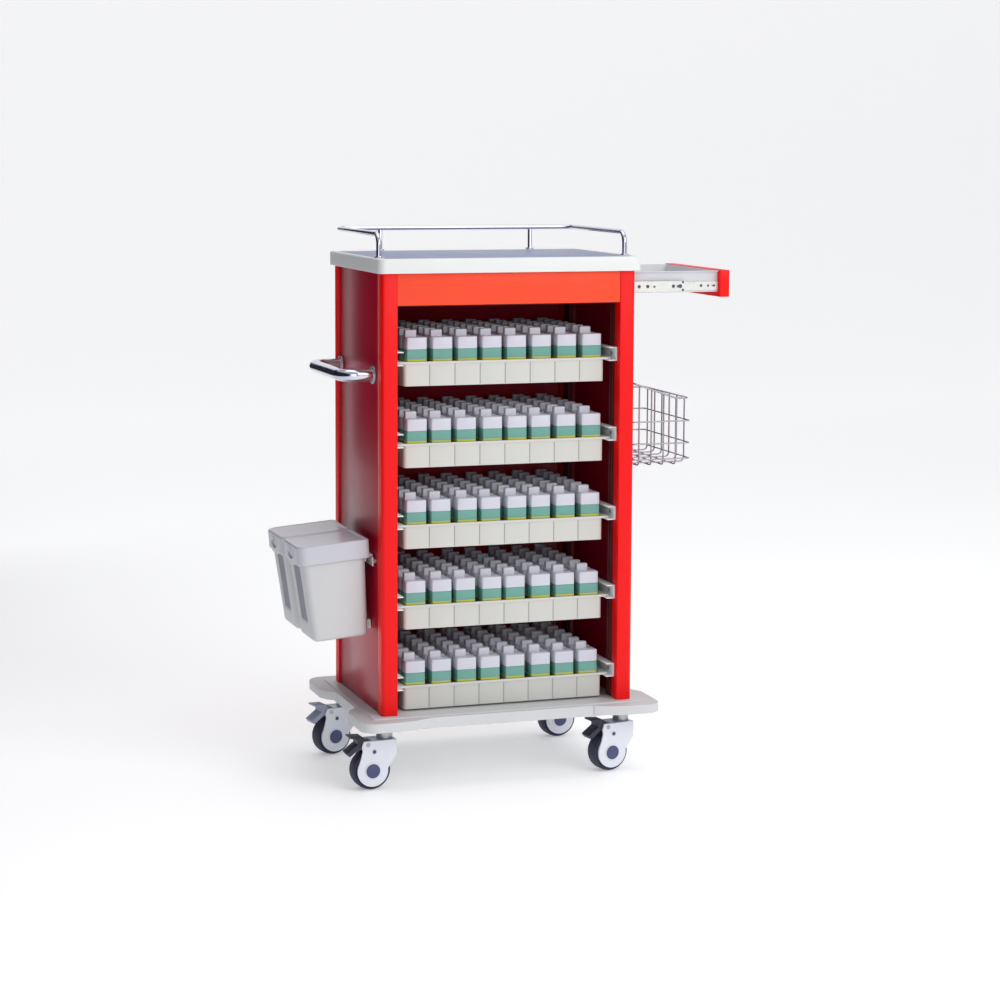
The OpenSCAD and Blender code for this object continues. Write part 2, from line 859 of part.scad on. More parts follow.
// Straight wire between two points.
module wire(a, b, r) {
    v = b - a;
    l = norm(v);
    translate(a) rotate([0, acos(v[2] / l), atan2(v[1], v[0])]) cylinder(r = r, h = l);
}

// Girth wires at height z, drawn d outside the upright wires. The long wires run higher.
module wire_ring(z, d, r) {
    x1 = basket_x + basket_out;
    y1 = basket_y0 + basket_l;
    for (x = [basket_x - d, x1 + d]) {
        wire([x, basket_y0 - d, z + 6.5], [x, y1 + d, z + 6.5], r);
    }
    for (y = [basket_y0 - d, y1 + d]) {
        wire([basket_x - d, y, z], [x1 + d, y, z], r);
    }
}

module wire_basket() {
    w = 2 * wire_r + 0.02;
    slope_x = basket_x + 95;
    top_z = basket_z + basket_h;
    bays_x = 4.5;
    step_x = basket_out / bays_x;
    step_y = basket_l / 6;
    color("#d2d4d8") at_cart() {
        for (z = [basket_z + 41, basket_z + 87]) wire_ring(z, w, wire_r);
        wire_ring(basket_z, w, wire_r);
        for (i = [0.5 : 1 : bays_x]) {
            x = basket_x + i * step_x;
            rim_drop = min(basket_back, basket_back * (x - basket_x) / (slope_x - basket_x));
            for (y = [basket_y0, basket_y0 + basket_l]) {
                wire([x, y, basket_z], [x, y, top_z + basket_back - rim_drop - 2.5], wire_r);
            }
            wire([x, basket_y0 - w, basket_z - w], [x, basket_y0 + basket_l + w, basket_z - w],
                 wire_r);
        }
        for (j = [0.5 : 1 : 6]) {
            y = basket_y0 + j * step_y;
            wire([basket_x + basket_out, y, basket_z], [basket_x + basket_out, y, top_z - 2.5],
                 wire_r);
            wire([basket_x, y, basket_z], [basket_x, y, top_z + basket_back - 2.5], wire_r);
        }
        basket_rim(slope_x, top_z);
    }
}

// Thicker rim wires: level at the outer side, rising along both ends to the back. Each stops
// just short of the round joint where it meets the next.
module basket_rim(slope_x, top_z) {
    r = wire_r + 0.4;
    gap = r + 0.05;
    x1 = basket_x + basket_out;
    z1 = top_z + basket_back;
    y0 = basket_y0;
    y1 = basket_y0 + basket_l;
    for (y = [y0, y1]) {
        rim_wire([basket_x, y, z1], [slope_x, y, top_z], r, gap);
        rim_wire([slope_x, y, top_z], [x1, y, top_z], r, gap);
        for (p = [[basket_x, y, z1], [slope_x, y, top_z], [x1, y, top_z]]) {
            translate(p) sphere(r);
        }
    }
    rim_wire([x1, y0, top_z], [x1, y1, top_z], r, gap);
    rim_wire([basket_x, y0, z1], [basket_x, y1, z1], r, gap);
}

module rim_wire(a, b, r, gap) {
    along = (b - a) / norm(b - a);
    wire(a + gap * along, b - gap * along, r);
}

// Two hooks on the side panel that carry the basket's back rim.
module basket_brackets() {
    hook_z = basket_z + basket_h + basket_back - wire_r - 0.45;
    color("#c4c6ca") at_cart() for (y = [basket_y0 + 80, basket_y0 + basket_l - 80]) {
        block(panel_x, panel_x + 1.5, y - 8, y + 8, hook_z - 24, hook_z + 10);
        block(panel_x + 1.5, basket_x + 4, y - 8, y + 8, hook_z - 1.5, hook_z - 0.1);
        block(basket_x + 2.6, basket_x + 4, y - 8, y + 8, hook_z - 0.1, hook_z + 6);
    }
}

// ---- Fasteners -------------------------------------------------------------------------

module screw_head() {
    cylinder(r = 3.6, h = 1.6);
}

// Runner screws and the screws of the handle's flanges.
module fasteners() {
    color("#8e9096") at_cart() {
        for (n = [1 : 5], y = [-140, 140]) {
            both_x() translate([opening_x - runner_t, y, runner_z(n) + runner_h / 2]) {
                rotate([0, 90, 0]) cylinder(r = 2, h = runner_t);
                rotate([0, -90, 0]) screw_head();
            }
        }
        for (y = [handle_y0, handle_y1], a = [90, 210, 330]) {
            translate([-panel_x - flange_h, y + 15.3 * cos(a), handle_z + 15.3 * sin(a)])
                rotate([0, -90, 0]) cylinder(r = 2.2, h = 1);
        }
    }
}

// ---- Assembly --------------------------------------------------------------------------

base_moulding();
base_frame();
caster_mounts();
front_posts();
rear_posts();
post_flanks();
left_panel();
right_panel();
back_panel();
front_header();
ceiling_sheet();
top_board();
guard_rail();
rail_stanchions();
push_handle();
handle_flanges();
tray_runners();
bin_rail();
basket_brackets();
slide_outers();
fasteners();
slide_middles();
slide_inners();
drawer_box();
drawer_front();
waste_bin(-1);  // front_bin
waste_bin(1);  // rear_bin
bin_lid(-1);  // front_bin_lid
bin_lid(1);  // rear_bin_lid
wire_basket();
tray(1);  // tray_1
tray(2);  // tray_2
tray(3);  // tray_3
tray(4);  // tray_4
tray(5);  // tray_5
tray_boxes(1);  // tray_1_boxes
tray_boxes(2);  // tray_2_boxes
tray_boxes(3);  // tray_3_boxes
tray_boxes(4);  // tray_4_boxes
tray_boxes(5);  // tray_5_boxes
caster_fork(false, false);  // front_left_fork
caster_pin_set(false, false);  // front_left_pins
caster_rim(false, false);  // front_left_rim
caster_tyre(false, false);  // front_left_tyre
caster_pedal(false, false);  // front_left_pedal
caster_fork(true, false);  // front_right_fork
caster_pin_set(true, false);  // front_right_pins
caster_rim(true, false);  // front_right_rim
caster_tyre(true, false);  // front_right_tyre
caster_pedal(true, false);  // front_right_pedal
caster_fork(false, true);  // rear_left_fork
caster_pin_set(false, true);  // rear_left_pins
caster_rim(false, true);  // rear_left_rim
caster_tyre(false, true);  // rear_left_tyre
caster_pedal(false, true);  // rear_left_pedal
caster_fork(true, true);  // rear_right_fork
caster_pin_set(true, true);  // rear_right_pins
caster_rim(true, true);  // rear_right_rim
caster_tyre(true, true);  // rear_right_tyre
caster_pedal(true, true);  // rear_right_pedal
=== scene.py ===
import json
import math

import bmesh
import bpy
from mathutils import Matrix, Vector


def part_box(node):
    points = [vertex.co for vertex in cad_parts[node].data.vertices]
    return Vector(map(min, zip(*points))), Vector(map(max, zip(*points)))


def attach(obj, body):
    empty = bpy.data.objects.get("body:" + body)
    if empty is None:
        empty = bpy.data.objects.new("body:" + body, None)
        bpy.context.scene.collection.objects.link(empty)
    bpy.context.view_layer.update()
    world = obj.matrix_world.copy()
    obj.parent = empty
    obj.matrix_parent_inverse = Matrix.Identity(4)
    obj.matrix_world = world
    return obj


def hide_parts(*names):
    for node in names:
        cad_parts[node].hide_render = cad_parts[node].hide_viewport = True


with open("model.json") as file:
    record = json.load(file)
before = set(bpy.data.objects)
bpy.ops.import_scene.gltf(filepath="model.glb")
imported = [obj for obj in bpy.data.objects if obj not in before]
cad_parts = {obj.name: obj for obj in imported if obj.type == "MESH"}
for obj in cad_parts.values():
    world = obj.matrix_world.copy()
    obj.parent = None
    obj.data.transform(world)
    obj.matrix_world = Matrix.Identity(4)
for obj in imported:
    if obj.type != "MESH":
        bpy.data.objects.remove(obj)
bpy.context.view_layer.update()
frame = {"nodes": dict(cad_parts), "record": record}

MM = 0.001
record = frame["record"]
body_of_node = {n: b for b, nodes in record["behaviour"]["bodies"].items() for n in nodes}
slot_of_node = {s["node"]: s["material_slot"] for s in record["subparts"]}

# ---- Driving sizes, millimetres, in the cart's own frame ---------------------------------
# The cart's frame has its origin on the floor under the cabinet's centre.
cabinet_low, cabinet_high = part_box("front_posts")
CART_X = (cabinet_low[0] + cabinet_high[0]) / 2 / MM
CART_Y = 0.0
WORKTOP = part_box("top_board")[1][2] / MM
RIM_TOPS = [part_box("tray_%d" % n)[1][2] / MM for n in range(1, 6)]
SMOOTH_ANGLE = math.radians(42)


def at_cart(x, y, z):
    """Cart millimetres to the row frame, in metres."""
    return Vector(((x + CART_X) * MM, (y + CART_Y) * MM, z * MM))


# ---- Materials ----------------------------------------------------------------------------

def srgb(r, g, b):
    """Linear colour from 0-255 display values."""
    def linear(v):
        v /= 255
        return v / 12.92 if v <= 0.04045 else ((v + 0.055) / 1.055) ** 2.4
    return (linear(r), linear(g), linear(b), 1.0)


def surface(name, colour, rough, metal=0.0, coat=0.0, tint=0.08, wear=0.05, grain=600.0,
            bump=0.04, patch=9.0, stretch=(1, 1, 1), specular=0.5):
    """A procedural finish: patchy tint, uneven gloss and a fine grain that lifts the normal."""
    mat = bpy.data.materials.new(name)
    mat.use_nodes = True
    tree = mat.node_tree
    shader = tree.nodes["Principled BSDF"]
    new = tree.nodes.new
    link = tree.links.new
    coords = new("ShaderNodeTexCoord")
    mapping = new("ShaderNodeMapping")
    mapping.inputs["Scale"].default_value = stretch
    link(coords.outputs["Object"], mapping.inputs["Vector"])

    broad = new("ShaderNodeTexNoise")
    broad.inputs["Scale"].default_value = patch
    broad.inputs["Detail"].default_value = 5.0
    link(mapping.outputs["Vector"], broad.inputs["Vector"])
    blend = new("ShaderNodeMix")
    blend.data_type = "RGBA"
    blend.inputs["A"].default_value = tuple(c * (1 - tint) for c in colour[:3]) + (1,)
    blend.inputs["B"].default_value = tuple(min(1, c * (1 + tint)) for c in colour[:3]) + (1,)
    link(broad.outputs["Fac"], blend.inputs["Factor"])
    link(blend.outputs["Result"], shader.inputs["Base Color"])

    scuffs = new("ShaderNodeTexNoise")
    scuffs.inputs["Scale"].default_value = patch * 4.5
    scuffs.inputs["Detail"].default_value = 8.0
    scuffs.inputs["Roughness"].default_value = 0.65
    link(mapping.outputs["Vector"], scuffs.inputs["Vector"])
    gloss = new("ShaderNodeMapRange")
    gloss.inputs["From Min"].default_value = 0.3
    gloss.inputs["From Max"].default_value = 0.7
    gloss.inputs["To Min"].default_value = max(0.02, rough - wear)
    gloss.inputs["To Max"].default_value = rough + wear
    link(scuffs.outputs["Fac"], gloss.inputs["Value"])
    link(gloss.outputs["Result"], shader.inputs["Roughness"])

    fine = new("ShaderNodeTexNoise")
    fine.inputs["Scale"].default_value = grain
    fine.inputs["Detail"].default_value = 3.0
    link(mapping.outputs["Vector"], fine.inputs["Vector"])
    lift = new("ShaderNodeBump")
    lift.inputs["Strength"].default_value = bump
    lift.inputs["Distance"].default_value = 0.0004
    link(fine.outputs["Fac"], lift.inputs["Height"])
    link(lift.outputs["Normal"], shader.inputs["Normal"])

    shader.inputs["Metallic"].default_value = metal
    shader.inputs["Coat Weight"].default_value = coat
    shader.inputs["Coat Roughness"].default_value = 0.12
    shader.inputs["Specular IOR Level"].default_value = specular
    return mat


LOOKS = {
    "post_paint": surface("post_paint", srgb(238, 4, 6), 0.42, coat=0.06, tint=0.05,
                          grain=900, bump=0.05, specular=0.22),
    "panel_paint": surface("panel_paint", srgb(170, 8, 42), 0.30, coat=0.06, tint=0.05,
                           wear=0.02, patch=4, grain=900, bump=0.02, specular=0.3),
    # Header: its own lighter orange paint, with the glare on its face painted in as a painted highlight.
    "header_paint": surface("header_paint", srgb(243, 74, 42), 0.40, coat=0.06, tint=0.06,
                            grain=900, bump=0.05, specular=0.25),
    # The cabinet's red paint darkened to maroon: painted shade for its shaded inside.
    "inner_paint": surface("inner_paint", srgb(84, 7, 11), 0.5, tint=0.10, grain=900, bump=0.06),
    "top_plastic": surface("top_plastic", srgb(226, 228, 226), 0.38, tint=0.03, grain=1400, bump=0.06),
    "field_plastic": surface("field_plastic", srgb(118, 128, 162), 0.38, coat=0.05, tint=0.03,
                             patch=5, grain=1200, bump=0.02, specular=0.3),
    "base_plastic": surface("base_plastic", srgb(204, 206, 208), 0.42, tint=0.04, grain=1400, bump=0.08),
    "frame_steel": surface("frame_steel", srgb(70, 72, 76), 0.5, metal=0.3, tint=0.15, grain=700, bump=0.1),
    "zinc": surface("zinc", srgb(176, 178, 184), 0.34, metal=1.0, tint=0.12, wear=0.10, patch=40,
                    grain=900, bump=0.08),
    "rail_chrome": surface("rail_chrome", srgb(204, 206, 218), 0.13, metal=1.0, tint=0.03,
                           wear=0.04, patch=20, grain=1500, bump=0.01),
    "runner_plastic": surface("runner_plastic", srgb(232, 234, 236), 0.42, tint=0.04, bump=0.06),
    "slide_steel": surface("slide_steel", srgb(226, 227, 222), 0.34, metal=0.6, tint=0.05, wear=0.08,
                           patch=30, grain=900, bump=0.03, stretch=(0.4, 1, 1)),
    "drawer_grey": surface("drawer_grey", srgb(206, 208, 212), 0.40, tint=0.04, grain=900, bump=0.05),
    "bin_plastic": surface("bin_plastic", srgb(202, 203, 205), 0.42, tint=0.04, grain=1300, bump=0.10),
    "lid_plastic": surface("lid_plastic", srgb(196, 197, 206), 0.34, coat=0.1, tint=0.03, grain=1300,
                           bump=0.07),
    # Painted shade for the recessed strip in each bin's outer end.
    "bin_painted_shade": surface("bin_painted_shade", srgb(128, 131, 144), 0.5, tint=0.05, grain=1300, bump=0.12),
    # Chrome with its colour lowered: a painted reflection of dark surroundings in the basket wires.
    "wire_chrome": surface("wire_chrome", srgb(160, 155, 164), 0.20, metal=1.0, tint=0.04, wear=0.05,
                           patch=60, grain=1500, bump=0.02),
    "tray_plastic": surface("tray_plastic", srgb(205, 205, 199), 0.46, tint=0.04, grain=1200, bump=0.09),
    # Painted shade for the grooves between the tray fronts' ribs.
    "groove_painted_shade": surface("groove_painted_shade", srgb(160, 160, 154), 0.5, tint=0.06, grain=1200, bump=0.09),
    "box_lid": surface("box_lid", srgb(204, 205, 216), 0.36, tint=0.04, patch=30, grain=1500, bump=0.06),
    "box_green": surface("box_green", srgb(104, 160, 148), 0.36, tint=0.08, patch=30, grain=1500, bump=0.05),
    "box_yellow": surface("box_yellow", srgb(196, 190, 60), 0.40, tint=0.08, patch=40, grain=900, bump=0.05),
    "box_blue": surface("box_blue", srgb(86, 128, 150), 0.40, tint=0.08, patch=40, grain=900, bump=0.05),
    "caster_white": surface("caster_white", srgb(222, 225, 234), 0.32, coat=0.2, tint=0.03, grain=1400,
                            bump=0.05),
    "cap_navy": surface("cap_navy", srgb(66, 72, 112), 0.38, tint=0.08, patch=60, grain=1400, bump=0.06),
    "rim_plastic": surface("rim_plastic", srgb(206, 207, 212), 0.42, tint=0.04, bump=0.06),
    "tyre_rubber": surface("tyre_rubber", srgb(42, 43, 66), 0.62, tint=0.16, wear=0.12, patch=50,
                           grain=900, bump=0.22),
    "pedal_plastic": surface("pedal_plastic", srgb(38, 40, 58), 0.46, tint=0.12, patch=60, grain=1200,
                             bump=0.12),
    # Rear pedals: the dark pedal plastic lightened as a painted reflection of the light on their tops.
    "pedal_painted_reflection": surface("pedal_painted_reflection", srgb(150, 155, 176), 0.44, tint=0.08, patch=60, grain=1200,
                          bump=0.10),
    # Painted shade for the holes in the slide webs; the ball stops share this dark.
    "painted_hole_shade_and_stops": surface("painted_hole_shade_and_stops", srgb(70, 72, 84), 0.55, tint=0.10, bump=0.06),
}

# ---- Mesh helpers ---------------------------------------------------------------------------


def place(bm, name, look, body, replaced=()):
    """Turns a bmesh in row-frame metres into a piece of the object."""
    bmesh.ops.recalc_face_normals(bm, faces=bm.faces)
    mesh = bpy.data.meshes.new(name)
    bm.to_mesh(mesh)
    bm.free()
    for face in mesh.polygons:
        face.use_smooth = True
    mesh.set_sharp_from_angle(angle=SMOOTH_ANGLE)
    obj = bpy.data.objects.new(name, mesh)
    bpy.context.scene.collection.objects.link(obj)
    mesh.materials.append(LOOKS[look])
    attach(obj, body)
    if replaced:
        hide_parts(*replaced)
    return obj


def soften(bm, width, segments=2, angle=32):
    """Rounds every edge sharper than angle."""
    edges = [e for e in bm.edges
             if len(e.link_faces) == 2 and e.calc_face_angle(0) > math.radians(angle)]
    bmesh.ops.bevel(bm, geom=edges, offset=width * MM, offset_type="OFFSET", segments=segments,
                    profile=0.5, affect="EDGES", clamp_overlap=True)


def refine(node, width, segments=2, look=None):
    """A CAD node's own shape with its edges rounded and its finish on."""
    bm = bmesh.new()
    bm.from_mesh(frame["nodes"][node].data)
    bmesh.ops.remove_doubles(bm, verts=bm.verts, dist=1e-5)
    bmesh.ops.dissolve_limit(bm, angle_limit=math.radians(1.5), verts=bm.verts, edges=bm.edges)
    if width:
        soften(bm, width, segments)
    slot = slot_of_node[node]
    return place(bm, node + "_skin", look or slot, body_of_node[node], (node,))


def loft(bm, loops, to_row):
    """Skins equal-length loops of (x, y, z) in cart millimetres, and caps both ends."""
    rings = [[bm.verts.new(to_row(*p)) for p in loop] for loop in loops]
    count = len(rings[0])
    for low, high in zip(rings, rings[1:]):
        for i in range(count):
            j = (i + 1) % count
            bm.faces.new((low[i], low[j], high[j], high[i]))
    bm.faces.new(rings[0])
    bm.faces.new(rings[-1])


def round_loop(x0, x1, y0, y1, z, radii, steps=6):
    """Rounded rectangle at height z; radii are for (x0,y0), (x1,y0), (x1,y1), (x0,y1)."""
    if not isinstance(radii, (tuple, list)):
        radii = (radii,) * 4
    corners = ((x0, y0, 1, 1, 180), (x1, y0, -1, 1, 270), (x1, y1, -1, -1, 0), (x0, y1, 1, -1, 90))
    points = []
    for (cx, cy, sx, sy, start), r in zip(corners, radii):
        for k in range(steps + 1):
            a = math.radians(start + 90 * k / steps)
            points.append((cx + sx * r + r * math.cos(a), cy + sy * r + r * math.sin(a), z))
    return points


def fillet(r, steps=4):
    """(inset, rise) pairs of a quarter round edge, from its foot to its top."""
    return [(r - r * math.cos(math.radians(90 * k / steps)), r * math.sin(math.radians(90 * k / steps)))
            for k in range(steps + 1)]


def slab_loops(x0, x1, y0, y1, z0, z1, r, edge):
    """Loops of a rounded block whose top and bottom edges are rounded by edge."""
    loops = []
    for inset, rise in reversed(fillet(edge)):
        loops.append(round_loop(x0 + inset, x1 - inset, y0 + inset, y1 - inset, z0 + edge - rise,
                                max(0.3, r - inset)))
    for inset, rise in fillet(edge):
        loops.append(round_loop(x0 + inset, x1 - inset, y0 + inset, y1 - inset, z1 - edge + rise,
                                max(0.3, r - inset)))
    return loops


def rounded_path(points, radius, closed=False, steps=5):
    """Polyline through the points with each corner turned by an arc of the given radius."""
    points = [Vector(p) for p in points]
    if closed:
        corners = zip(points[-1:] + points[:-1], points, points[1:] + points[:1])
    else:
        corners = zip(points, points[1:], points[2:])
    path = [] if closed else [points[0]]
    for before, corner, after in corners:
        u = (before - corner).normalized()
        v = (after - corner).normalized()
        half = u.angle(v) / 2
        back = radius / math.tan(half)
        centre = corner + (u + v).normalized() * radius / math.sin(half)
        start = corner + u * back - centre
        axis = start.cross(corner + v * back - centre)
        for k in range(steps + 1):
            turn = Matrix.Rotation((math.pi - 2 * half) * k / steps, 3, axis)
            path.append(centre + turn @ start)
    if not closed:
        path.append(points[-1])
    return path


def tube(bm, path, radius, to_row, reference, closed=False, sides=10):
    """Round rod along a path; reference is a direction that the path never runs along."""
    path = [Vector(p) for p in path]
    count = len(path)
    rings = []
    for i, p in enumerate(path):
        if closed:
            ahead = (path[(i + 1) % count] - path[i - 1]).normalized()
        else:
            ahead = (path[min(i + 1, count - 1)] - path[max(i - 1, 0)]).normalized()
        side = (reference - ahead * reference.dot(ahead)).normalized()
        up = ahead.cross(side)
        ring = []
        for k in range(sides):
            a = 2 * math.pi * k / sides
            ring.append(bm.verts.new(to_row(*(p + (side * math.cos(a) + up * math.sin(a)) * radius))))
        rings.append(ring)
    nexts = rings[1:] + rings[:1] if closed else rings[1:]
    for low, high in zip(rings, nexts):
        for k in range(sides):
            j = (k + 1) % sides
            bm.faces.new((low[k], low[j], high[j], high[k]))
    if not closed:
        bm.faces.new(rings[0])
        bm.faces.new(rings[-1])


def annulus(bm, profile, to_row, sides=48):
    """Ring about local Z from a closed profile of (radius, z) points off the axis."""
    rings = [[bm.verts.new(to_row(r * math.cos(2 * math.pi * k / sides),
                                  r * math.sin(2 * math.pi * k / sides), z))
              for k in range(sides)] for r, z in profile]
    for low, high in zip(rings, rings[1:] + rings[:1]):
        for k in range(sides):
            j = (k + 1) % sides
            bm.faces.new((low[k], low[j], high[j], high[k]))


def turned(bm, profile, to_row, sides=48):
    """Solid of revolution about local Z from (radius, z) points that start and end on the axis."""
    rings = []
    for r, z in profile:
        if r == 0:
            rings.append([bm.verts.new(to_row(0, 0, z))])
            continue
        rings.append([bm.verts.new(to_row(r * math.cos(2 * math.pi * k / sides),
                                          r * math.sin(2 * math.pi * k / sides), z))
                      for k in range(sides)])
    for low, high in zip(rings, rings[1:]):
        for k in range(sides):
            j = (k + 1) % sides
            if len(low) == 1:
                bm.faces.new((low[0], high[j], high[k]))
            elif len(high) == 1:
                bm.faces.new((low[k], low[j], high[0]))
            else:
                bm.faces.new((low[k], low[j], high[j], high[k]))


# ---- Cabinet --------------------------------------------------------------------------------

def build_cabinet():
    for node in ("front_posts", "rear_posts", "front_header"):
        refine(node, 1.0, 3)
    for node in ("left_panel", "right_panel", "back_panel", "ceiling_sheet"):
        refine(node, 0.6)
    refine("post_flanks", 0.6)
    refine("tray_runners", 0.4)
    refine("base_frame", 1.0)
    refine("caster_mounts", 0.5)
    refine("fasteners", 0.4)
    refine("bin_rail", 0.5)
    refine("basket_brackets", 0.35)
    refine("handle_flanges", 1.2, 3)
    refine("rail_stanchions", 0.5)
    refine("guard_rail", 0)
    refine("push_handle", 0)


def build_worktop():
    """Moulded board with a rounded rim, and the darker work field let into it."""
    low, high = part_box("top_board")
    x = (high[0] - low[0]) / 2 / MM
    y0 = low[1] / MM - CART_Y
    y1 = high[1] / MM - CART_Y
    z0 = low[2] / MM
    lip = 12
    drop = 1.5
    loops = []
    for inset, rise in reversed(fillet(2)):
        loops.append(round_loop(-x + inset, x - inset, y0 + inset, y1 - inset, z0 + 2 - rise, 16 - inset))
    for inset, rise in fillet(4):
        loops.append(round_loop(-x + inset, x - inset, y0 + inset, y1 - inset, WORKTOP - 4 + rise,
                                16 - inset))
    loops.append(round_loop(-x + lip - 1, x - lip + 1, y0 + lip - 1, y1 - lip + 1, WORKTOP, 9))
    loops.append(round_loop(-x + lip, x - lip, y0 + lip, y1 - lip, WORKTOP - drop, 8))
    bm = bmesh.new()
    loft(bm, loops, at_cart)
    place(bm, "worktop_moulding", "top_plastic", "cart", ("top_board",))

    bm = bmesh.new()
    field = slab_loops(-x + lip + 0.4, x - lip - 0.4, y0 + lip + 0.4, y1 - lip - 0.4,
                       WORKTOP - drop - 0.6, WORKTOP - drop + 0.5, 8, 0.3)
    loft(bm, field, at_cart)
    place(bm, "worktop_field", "field_plastic", "cart")

    bm = bmesh.new()
    for s in (-1, 1):
        for px, py in ((s * 260.5, -134), (s * 167, 181)):
            turned(bm, [(0, WORKTOP - 2), (11, WORKTOP - 2), (11, WORKTOP - 0.5),
                        (10.5, WORKTOP), (0, WORKTOP)],
                   lambda a, b, c, px=px, py=py: at_cart(a + px, b + py, c), 32)
    place(bm, "worktop_pads", "top_plastic", "cart")


# ---- Base -----------------------------------------------------------------------------------

def build_base():
    refine("base_moulding", 2.5, 3)


# ---- Trays and boxes ------------------------------------------------------------------------

BOX_W, BOX_D = 42.0, 37.0
BOX_BASE_H, BOX_LID_H, TAB_H = 71.0, 23.5, 13.5
PITCH_X, PITCH_Y = 53.1, 42.4
COLUMNS, ROWS = 8, 7
TRAY_W, TRAY_H, TRAY_RIM_OUT = 425.0, 49.0, 4.0


def column_x(n, c):
    """Each column stands a little off its even place, as part.scad sets it."""
    return (c - (COLUMNS - 1) / 2) * PITCH_X + 0.5 + 1.6 * math.sin(math.radians(360 * (n * c + n) / 7))


def box_places(n):
    floor = RIM_TOPS[n - 1] - 49 + 2.5
    for c in range(COLUMNS):
        for r in range(ROWS):
            yield column_x(n, c), -144.3 + r * PITCH_Y, floor


def build_tray(n):
    """A tray, with painted shade laid in the grooves between its front ribs."""
    refine("tray_%d" % n, 0.5)
    low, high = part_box("tray_%d" % n)
    rim = RIM_TOPS[n - 1]
    face = low[1] / MM - CART_Y + TRAY_RIM_OUT
    bm = bmesh.new()
    for i in range(1, COLUMNS):
        x = (i - COLUMNS / 2) * TRAY_W / COLUMNS
        loft(bm, [round_loop(x - 0.9, x + 0.9, face + 0.3, face + 1.0, rim - TRAY_H + 2.5, 0.2, 1),
                  round_loop(x - 0.9, x + 0.9, face + 0.3, face + 1.0, rim - 7, 0.2, 1)], at_cart)
    place(bm, "tray_%d_grooves" % n, "groove_painted_shade", body_of_node["tray_%d" % n])


def build_boxes(n):
    body = "tray_%d_load" % n
    h = BOX_BASE_H
    w = BOX_W / 2
    d = BOX_D
    top = h + BOX_LID_H
    parts = {"base": bmesh.new(), "label": bmesh.new(), "stripe": bmesh.new(), "lid": bmesh.new()}
    for x, y, z in box_places(n):
        def spot(a, b, c, x=x, y=y, z=z):
            return at_cart(a + x, b + y, c + z)
        base = [round_loop(-w + 1, w - 1, 1, d - 1, 0, 3, 2), round_loop(-w, w, 0, d, 1, 4, 2),
                round_loop(-w, w, 0, d, h - 1.2, 4, 2),
                round_loop(-w + 0.8, w - 0.8, 0.8, d - 0.8, h - 0.6, 3.4, 2)]
        loft(parts["base"], base, spot)
        lid = [round_loop(-w + 0.9, w - 0.9, 0.9, d - 0.9, h - 0.7, 3.4, 2),
               round_loop(-w, w, 0, d, h + 0.1, 4, 2), round_loop(-w, w, 0, d, top - 1.6, 4, 2),
               round_loop(-w + 0.5, w - 0.5, 0.5, d - 0.5, top - 0.5, 3.5, 2),
               round_loop(-w + 1.6, w - 1.6, 1.6, d - 1.6, top, 2.5, 2)]
        loft(parts["lid"], lid, spot)
        tab = [round_loop(-w + 3, -w + 26, 22, d - 1, top - 0.5, 1.5, 2),
               round_loop(-w + 3, -w + 26, 22, d - 1, top + TAB_H - 1, 1.5, 2),
               round_loop(-w + 4, -w + 25, 23, d - 2, top + TAB_H, 1, 2)]
        loft(parts["lid"], tab, spot)
        stripe = [round_loop(-w - 0.1, w + 0.1, -0.1, d + 0.1, 46.8, 4, 2),
                  round_loop(-w - 0.1, w + 0.1, -0.1, d + 0.1, 50.6, 4, 2)]
        loft(parts["stripe"], stripe, spot)
        label = [round_loop(-w - 0.08, w + 0.08, -0.08, d + 0.08, 8, 4, 2),
                 round_loop(-w - 0.08, w + 0.08, -0.08, d + 0.08, 46.7, 4, 2)]
        loft(parts["label"], label, spot)
    node = "tray_%d_boxes" % n
    looks = {"base": "box_green", "label": "box_blue", "stripe": "box_yellow", "lid": "box_lid"}
    for part, bm in parts.items():
        place(bm, "boxes_%d_%s" % (n, part), looks[part], body,
              (node,) if part == "base" else ())


# ---- Side drawer ----------------------------------------------------------------------------

SLIDE_Z = WORKTOP - 64.5


def build_drawer():
    refine("drawer_front", 1.6, 3, "post_paint")
    refine("drawer_box", 0.5)
    for node in ("slide_outers", "slide_middles", "slide_inners"):
        refine(node, 0)
    slide_holes("middle_holes", "slide_middles", 143.6,
                ((290, 0, 3.6), (308.9, 0, 3.6), (365.6, 0, 3.6), (381, 0, 4.2), (387, 8, 2.6),
                 (387, -8, 2.6)))
    slide_holes("inner_holes", "slide_inners", 138.8, ((429.4, 0, 3.0), (445.2, 0, 2.4), (458.8, 0, 2.4)))


def slide_holes(name, node, web_y, holes):
    """Dark discs in the slides' webs, on both sides: painted shade for the holes, and the ball stops in the
    same dark.
    """
    bm = bmesh.new()
    for side in (-1, 1):
        for x, dz, r in holes:
            def spot(a, b, c, x=x, dz=dz, side=side):
                return at_cart(x + a, side * c, SLIDE_Z + dz + b)
            turned(bm, [(0, web_y - 0.4), (r, web_y - 0.4), (r, web_y + 0.1), (0, web_y + 0.1)], spot, 20)
    place(bm, name, "painted_hole_shade_and_stops", body_of_node[node])


# ---- Waste bins -----------------------------------------------------------------------------

BIN_TILT = math.radians(-4.8)
BIN_X, BIN_Z, BIN_PITCH = -280.2, 504.0, 138.0


def bin_frame(side):
    """Maps a bin's own millimetres, outward on -X from its back top edge, to the row frame."""
    turn = Matrix.Rotation(BIN_TILT, 3, "Y")

    def to_row(x, y, z):
        p = turn @ Vector((x, y, z))
        return at_cart(p.x + BIN_X, p.y + side * BIN_PITCH / 2, p.z + BIN_Z)
    return to_row


